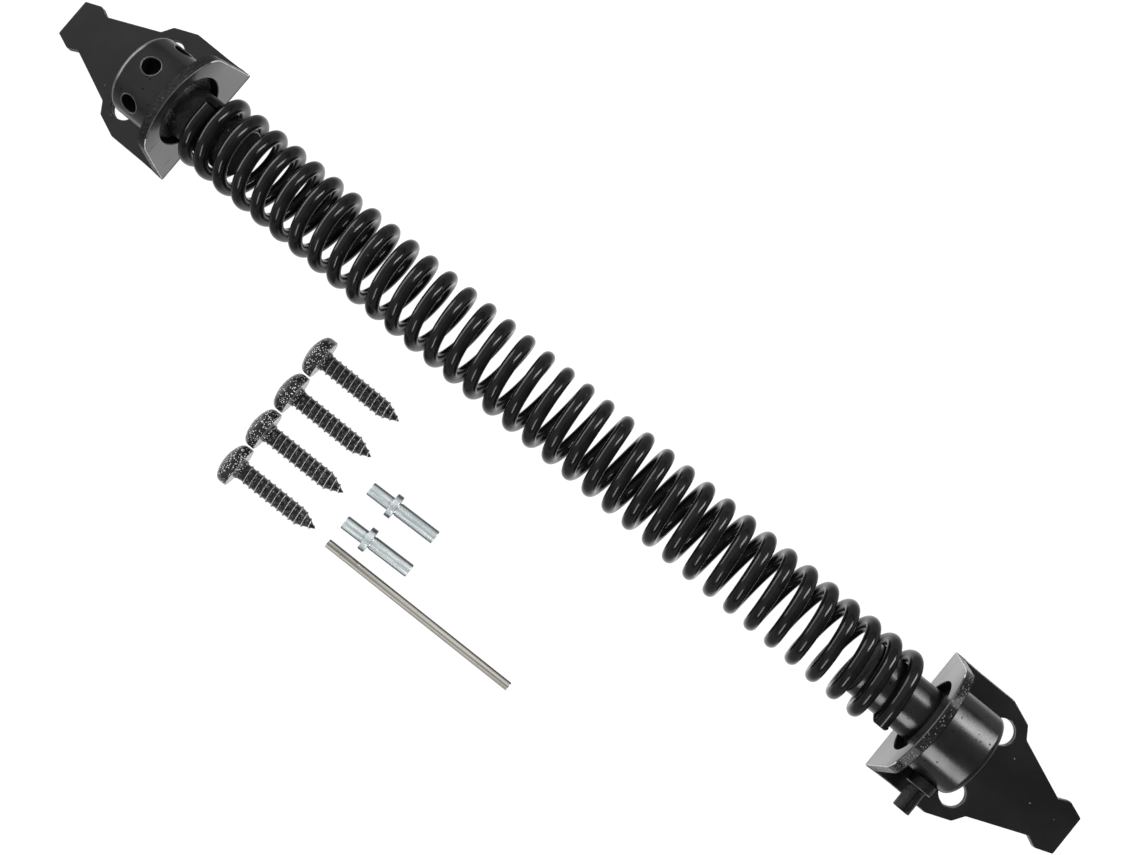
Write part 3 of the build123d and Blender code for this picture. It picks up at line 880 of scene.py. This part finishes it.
# the cross recess is its half length, half width and depth, and its foot the first two again
screwLook = {
    "headRadius": 5.93, "headHeight": 4.8, "collar": 2.8, "collarLength": 0.9, "collarSlope": 0.35,
    "hidden": 0.5, "crestRadius": 2.82, "coreRadius": 2.36, "length": 26.0, "pitch": 1.92, "point": 5.3,
    "coreBluntness": 0.85, "crestBluntness": 0.7, "riseRate": 1.6, "halfWidth": 0.19, "rowsPerTurn": 8,
    "columns": 40, "headColumns": 72, "threadFrom": 1.0, "mergeReach": 0.004, "bareAndHighlightFrom": (0.30, 0.62),
    "bareAndHighlightShare": (0.6, 1.0), "heading": 0.45, "tipX": 117.05, "tipY": -28.36, "stepX": 0.42,
    "stepY": -12.28, "firstRoll": 0.6, "rollStep": 1.3, "recess": (3.0, 0.575, 2.4),
    "recessFoot": (2.49, 0.12), "recessAbove": 0.6, "rowNudge": 1e-4, "startNudge": 1e-7, "edge": 0.1,
    "seatFacing": 0.9, "sharpAngle": 38,
    "dome": [(4.8, 0), (4.73, 1.2), (4.53, 2.4), (4.22, 3.6), (3.75, 4.7), (3.40, 5.2),
             (3.05, 5.55), (2.50, 5.82), (1.90, 5.93), (0.25, 5.93), (0.0, 5.7)]
}


def makeThreadTree():
    # a flat sheet rolled up: one way along it is the turn of the helix, the other the way around the core
    look = screwLook
    tree, value, result = growthTree("helicalThread", "pitch coreRadius crestRadius threadFrom length point",
                                     "halfWidth roll", "turns rows columns")
    sheet = addNode(tree, "GeometryNodeMeshGrid",
                    {"Vertices X": value("rows"), "Vertices Y": value("columns")})
    split = addNode(tree, "ShaderNodeSeparateXYZ", [addNode(tree, "GeometryNodeInputPosition")])
    turn = (split + 0.5) * value("turns")
    around = split.other(1) + 0.5
    axial = (turn - 1.0 + around) * value("pitch") + value("threadFrom")
    along = axial.calc("MAXIMUM", value("threadFrom")).calc("MINIMUM", value("length"))
    inside = axial.calc("GREATER_THAN", value("threadFrom") - look["startNudge"])
    fromCrest = ((turn + look["rowNudge"]).calc("FRACT") - 0.5).calc("ABSOLUTE")
    ridge = fromCrest.remap(0.0, value("halfWidth"), 1.0, 0.0)
    left = ((value("length") - along) / value("point")).calc("MINIMUM", 1.0)
    core = value("coreRadius") * left.calc("POWER", look["coreBluntness"])
    crest = value("crestRadius") * left.calc("POWER", look["crestBluntness"])
    rise = ((along - value("threadFrom")) / value("pitch") * look["riseRate"]).calc("MINIMUM", 1.0)
    radius = (core + (crest - core) * ridge * rise) * inside
    angle = around * math.tau
    point = addNode(tree, "ShaderNodeCombineXYZ",
                    [along, radius * angle.calc("COSINE"), radius * angle.calc("SINE")])
    # bare metal on the crests is stronger on the side that faces up as the screw lies, so it is partly a
    # painted highlight
    upward = (angle + value("roll")).calc("SINE").remap(*look["bareAndHighlightFrom"], *look["bareAndHighlightShare"])
    stored = addNode(tree, "GeometryNodeStoreNamedAttribute",
                     {"Geometry": sheet, "Name": "crest", "Value": ridge * rise * upward})
    moved = addNode(tree, "GeometryNodeSetPosition", {"Geometry": stored, "Position": point})
    merged = addNode(tree, "GeometryNodeMergeByDistance",
                     {"Geometry": moved, "Distance": look["mergeReach"] * mm})
    endTree(tree, merged, value("finish"), result)
    return tree


def makeCrossCutter():
    # tapered cross recess, sunk into the top of the head, which faces -X
    reach, half, depth = screwLook["recess"]
    footReach, footHalf = screwLook["recessFoot"]
    top = -screwLook["headHeight"] - screwLook["recessAbove"]
    floor = -screwLook["headHeight"] + depth
    form = bmesh.new()
    for turn in (0, 1):
        rings = []
        for x, wide, thin in ((top, reach, half), (floor, footReach, footHalf)):
            corners = [(-wide, -thin), (wide, -thin), (wide, thin), (-wide, thin)]
            if turn:
                corners = [(-b, a) for a, b in corners]
            rings.append([form.verts.new((x * mm, a * mm, b * mm)) for a, b in corners])
        form.faces.new(rings[0])
        form.faces.new(rings[1])
        for i in range(4):
            form.faces.new((rings[0][i], rings[0][(i + 1) % 4], rings[1][(i + 1) % 4], rings[1][i]))
    return form


def makeScrews():
    look = screwLook
    tree = makeThreadTree()
    turns = math.ceil((look["length"] - look["threadFrom"]) / look["pitch"]) + 1
    slope = (look["headRadius"] - look["crestRadius"]) / (look["length"] - look["point"])
    droop = math.degrees(math.atan(slope))
    run = look["length"] * math.cos(math.radians(droop))
    heading = math.radians(look["heading"])
    outline = [(-x, r) for x, r in look["dome"]]
    outline += [(0.0, look["collar"]), (look["collarLength"], look["collar"]),
                (look["collarLength"] + look["collarSlope"], look["coreRadius"]),
                (look["collarLength"] + look["hidden"], 0)]
    for i in range(4):
        node = f"screw_{i + 1}"
        roll = look["firstRoll"] + look["rollStep"] * i
        start = (look["tipX"] + i * look["stepX"] - run * math.cos(heading),
                 look["tipY"] + i * look["stepY"] - run * math.sin(heading),
                 look["headRadius"] * math.cos(math.radians(droop)))
        shank = growMesh(f"shank{i + 1}", tree, {
            **look, "roll": roll, "turns": turns, "rows": turns * look["rowsPerTurn"] + 1,
            "columns": look["columns"] + 1, "finish": materials["screwThread"]})
        head = turnOnLathe(f"screwPiece{i + 1}", outline, look["headColumns"])
        cutAway(head, formToObject(makeCrossCutter(), "crossCutter"))
        softenEdges(head, look["edge"], angle=40, segments=2)
        paint(head, "blackScrew", "paintedSeatReflection")
        # the seat under the head gets the painted reflection of the floor
        for face in head.data.polygons:
            if face.normal.x > look["seatFacing"] and abs(face.center.x) < look["edge"] * mm:
                face.material_index = 1
        joinInto(head, shank)
        head.data.transform(lyingMatrix(start, look["heading"], droop) @ Matrix.Rotation(roll, 4, "X"))
        head.data.shade_smooth()
        head.data.set_sharp_from_angle(angle=math.radians(look["sharpAngle"]))
        placePiece(head, node, node)


makeScrews()
print("screws made")

tensionPinLook = {
    "x": 131.19, "y": -46.66, "stepX": 0.42, "stepY": -11.3, "heading": 2.2, "radius": 1.97, "short": 7.0,
    "long": 13.1, "collar": 3.55, "collarWidth": 1.85, "undercut": 0.15, "undercutLength": 0.6,
    "footRound": 0.15, "collarRound": 0.14, "neckRound": 0.1, "endRound": 0.3, "columns": 72
}
rodLook = {
    "x": 123.3, "y": -66.0, "heading": 1.93, "length": 62.5, "radius": 1.25, "endRound": 0.22,
    "columns": 64
}
roundStep = 18.0  # degrees from one ring of a rounding to the next


def markSides(obj, middle=0.9):
    # how far each point lies to the side of the piece's own X axis, 0 on top and 1 at the side; the
    # middle of an end face, up to this many mm from the axis, counts as halfway
    across = obj.data.attributes.new("across", "FLOAT", "POINT")
    for v in obj.data.vertices:
        radius = math.hypot(v.co.y, v.co.z)
        across.data[v.index].value = abs(v.co.y) / radius if radius > middle * mm else 0.5


def makeRound(look, name, points, radii, start, droop, finish, node):
    piece = turnOnLathe(name, roundOff(points, radii, roundStep), look["columns"])
    markSides(piece)
    piece.data.transform(lyingMatrix(start, look["heading"], droop))
    paint(piece, finish)
    evenShading(piece)
    placePiece(piece, node, node)


def makeTensionPins():
    look = tensionPinLook
    half = look["collarWidth"] / 2
    necked = look["radius"] - look["undercut"]
    neckEnd = half + look["undercutLength"]
    points = [(-half - look["short"], 0), (-half - look["short"], look["radius"]), (-half, look["radius"]),
              (-half, look["collar"]), (half, look["collar"]), (half, necked), (neckEnd, necked),
              (neckEnd, look["radius"]), (half + look["long"], look["radius"]), (half + look["long"], 0)]
    radii = [0, look["endRound"], look["footRound"], look["collarRound"], look["collarRound"], 0,
             look["neckRound"], look["neckRound"], look["endRound"], 0]
    droop = math.degrees(math.atan((look["collar"] - look["radius"]) / look["long"]))
    lift = look["collar"] * math.cos(math.radians(droop)) + half * math.sin(math.radians(droop))
    for i in range(2):
        start = (look["x"] + i * look["stepX"], look["y"] + i * look["stepY"], lift)
        makeRound(look, f"tensionPin{i + 1}", points, radii, start, droop, "zincPlate",
                  f"tension_pin_{i + 1}")


def makeRod():
    look = rodLook
    points = [(0, 0), (0, look["radius"]), (look["length"], look["radius"]), (look["length"], 0)]
    radii = [0, look["endRound"], look["endRound"], 0]
    start = (look["x"], look["y"], look["radius"])
    makeRound(look, "tensionRod", points, radii, start, 0, "bareSteel", "tension_rod")


makeTensionPins()
makeRod()
print("pins and rod made")


# Floor, lights and camera

studio = {
    "floorSize": 3.0, "floorDrop": 0.25, "floorWhite": 0.20, "floorGlow": 0.93, "nearGlow": 0.80,
    "farGlow": 0.12, "nearReach": 0.018, "farReach": 0.037, "touchReach": 0.0004, "openReach": 0.0030,
    "contactShadowGlow": 0.05, "airLeft": 0.44, "airRight": 0.14, "airLow": 0.40, "airAcross": (-0.02, 0.26),
    "airUp": (0.05, 0.6)
}
white = (1, 1, 1, 1)


def makeFloor():
    mesh = bpy.data.meshes.new("whiteFloor")
    half = studio["floorSize"] / 2
    drop = -studio["floorDrop"] * mm
    corners = [(-half, -half, drop), (half, -half, drop), (half, half, drop), (-half, half, drop)]
    mesh.from_pydata(corners, [], [(0, 1, 2, 3)])
    floor = newObject("whiteFloor", mesh)
    material = bpy.data.materials.new("whitePaper")
    material.use_nodes = True
    tree = material.node_tree
    tree.nodes.remove(tree.nodes["Principled BSDF"])
    paper = addNode(tree, "ShaderNodeBsdfDiffuse", {"Color": toColor(studio["floorWhite"])})
    rays = addNode(tree, "ShaderNodeLightPath")
    mirrored = rays.other("Is Glossy Ray").calc("MAXIMUM", rays.other("Is Transmission Ray"))
    # in reflections the paper's glow is painted light: a painted contact shadow where a piece touches it,
    # bright close by, fading further off
    length = rays.other("Ray Length")
    fading = length.remap(studio["nearReach"], studio["farReach"], studio["nearGlow"], studio["farGlow"])
    gap = length.remap(studio["touchReach"], studio["openReach"], studio["contactShadowGlow"], 1.0)
    seen = rays.other("Is Camera Ray") * studio["floorGlow"]
    strength = seen.calc("MAXIMUM", mirrored * (fading * gap))
    glow = addNode(tree, "ShaderNodeEmission", {"Strength": strength})
    both = addNode(tree, "ShaderNodeAddShader", [paper, glow])
    plug(tree, both, tree.nodes["Material Output"].inputs["Surface"])
    mesh.materials.append(material)


def makeWorld():
    # air that is bright to the left and above, and white where the camera looks straight at it
    world = bpy.data.worlds.new("studioAir")
    bpy.context.scene.world = world
    world.use_nodes = True
    tree = world.node_tree
    tree.nodes.remove(tree.nodes["Background"])
    split = addNode(tree, "ShaderNodeSeparateXYZ", [addNode(tree, "ShaderNodeTexCoord").other("Generated")])
    level = split.remap(*studio["airAcross"], studio["airLeft"], studio["airRight"])
    height = split.other(2).remap(*studio["airUp"], studio["airLow"], 1.0)
    air = addNode(tree, "ShaderNodeBackground", {"Color": white, "Strength": level * height})
    sky = addNode(tree, "ShaderNodeBackground", {"Color": white})
    seen = addNode(tree, "ShaderNodeLightPath").other("Is Camera Ray")
    mixed = addNode(tree, "ShaderNodeMixShader", [seen, air, sky])
    plug(tree, mixed, tree.nodes["World Output"].inputs["Surface"])


# place and aim in metres, radiance is how bright the panel itself looks
softboxes = {
    "farPanel": {
        "place": (0.66, 0.80, 0.56), "aim": (0.20, 0.0, 0.0), "size": (0.26, 0.68), "radiance": 11.5},
    "nearPanel": {
        "place": (0.52, -0.88, 0.50), "aim": (0.20, 0.0, 0.0), "size": (0.24, 0.60), "radiance": 7.0},
    "leftLow": {
        "place": (-0.65, 0.05, 0.17), "aim": (0.0, 0.0, 0.0), "size": (0.90, 0.48), "radiance": 3.8},
    "overhead": {
        "place": (0.15, 0.0, 1.0), "aim": (0.15, 0.001, 0.0), "size": (0.80, 0.80), "radiance": 1.9,
        "mirrored": False}
}


def makeSoftboxes():
    for name, look in softboxes.items():
        lamp = bpy.data.lights.new(name, "AREA")
        lamp.shape = "RECTANGLE"
        lamp.size, lamp.size_y = look["size"]
        lamp.energy = look["radiance"] * math.pi * lamp.size * lamp.size_y
        obj = newObject(name, lamp)
        obj.visible_glossy = look.get("mirrored", True)
        back = (Vector(look["place"]) - Vector(look["aim"])).normalized()
        right = Vector((0, 0, 1)).cross(back).normalized()
        up = back.cross(right)
        turned = Matrix((right, up, back)).transposed().to_4x4()
        obj.matrix_world = Matrix.Translation(look["place"]) @ turned


cameraLook = {
    "place": (0.18713578, -0.01283923, 0.35726559), "turn": (4.97237916, 2.77852908, 39.69463274),
    "lens": 41.7063, "sensor": 36.0, "nearest": 0.01
}


def makeCamera():
    lens = bpy.data.cameras.new("photoView")
    lens.sensor_fit = "HORIZONTAL"
    lens.sensor_width = cameraLook["sensor"]
    lens.lens = cameraLook["lens"]
    lens.clip_start = cameraLook["nearest"]
    camera = newObject("photoView", lens)
    camera.location = cameraLook["place"]
    camera.rotation_euler = [math.radians(a) for a in cameraLook["turn"]]
    bpy.context.scene.camera = camera


makeFloor()
makeWorld()
makeSoftboxes()
makeCamera()
bpy.context.scene.view_settings.view_transform = "Standard"
print("studio set")
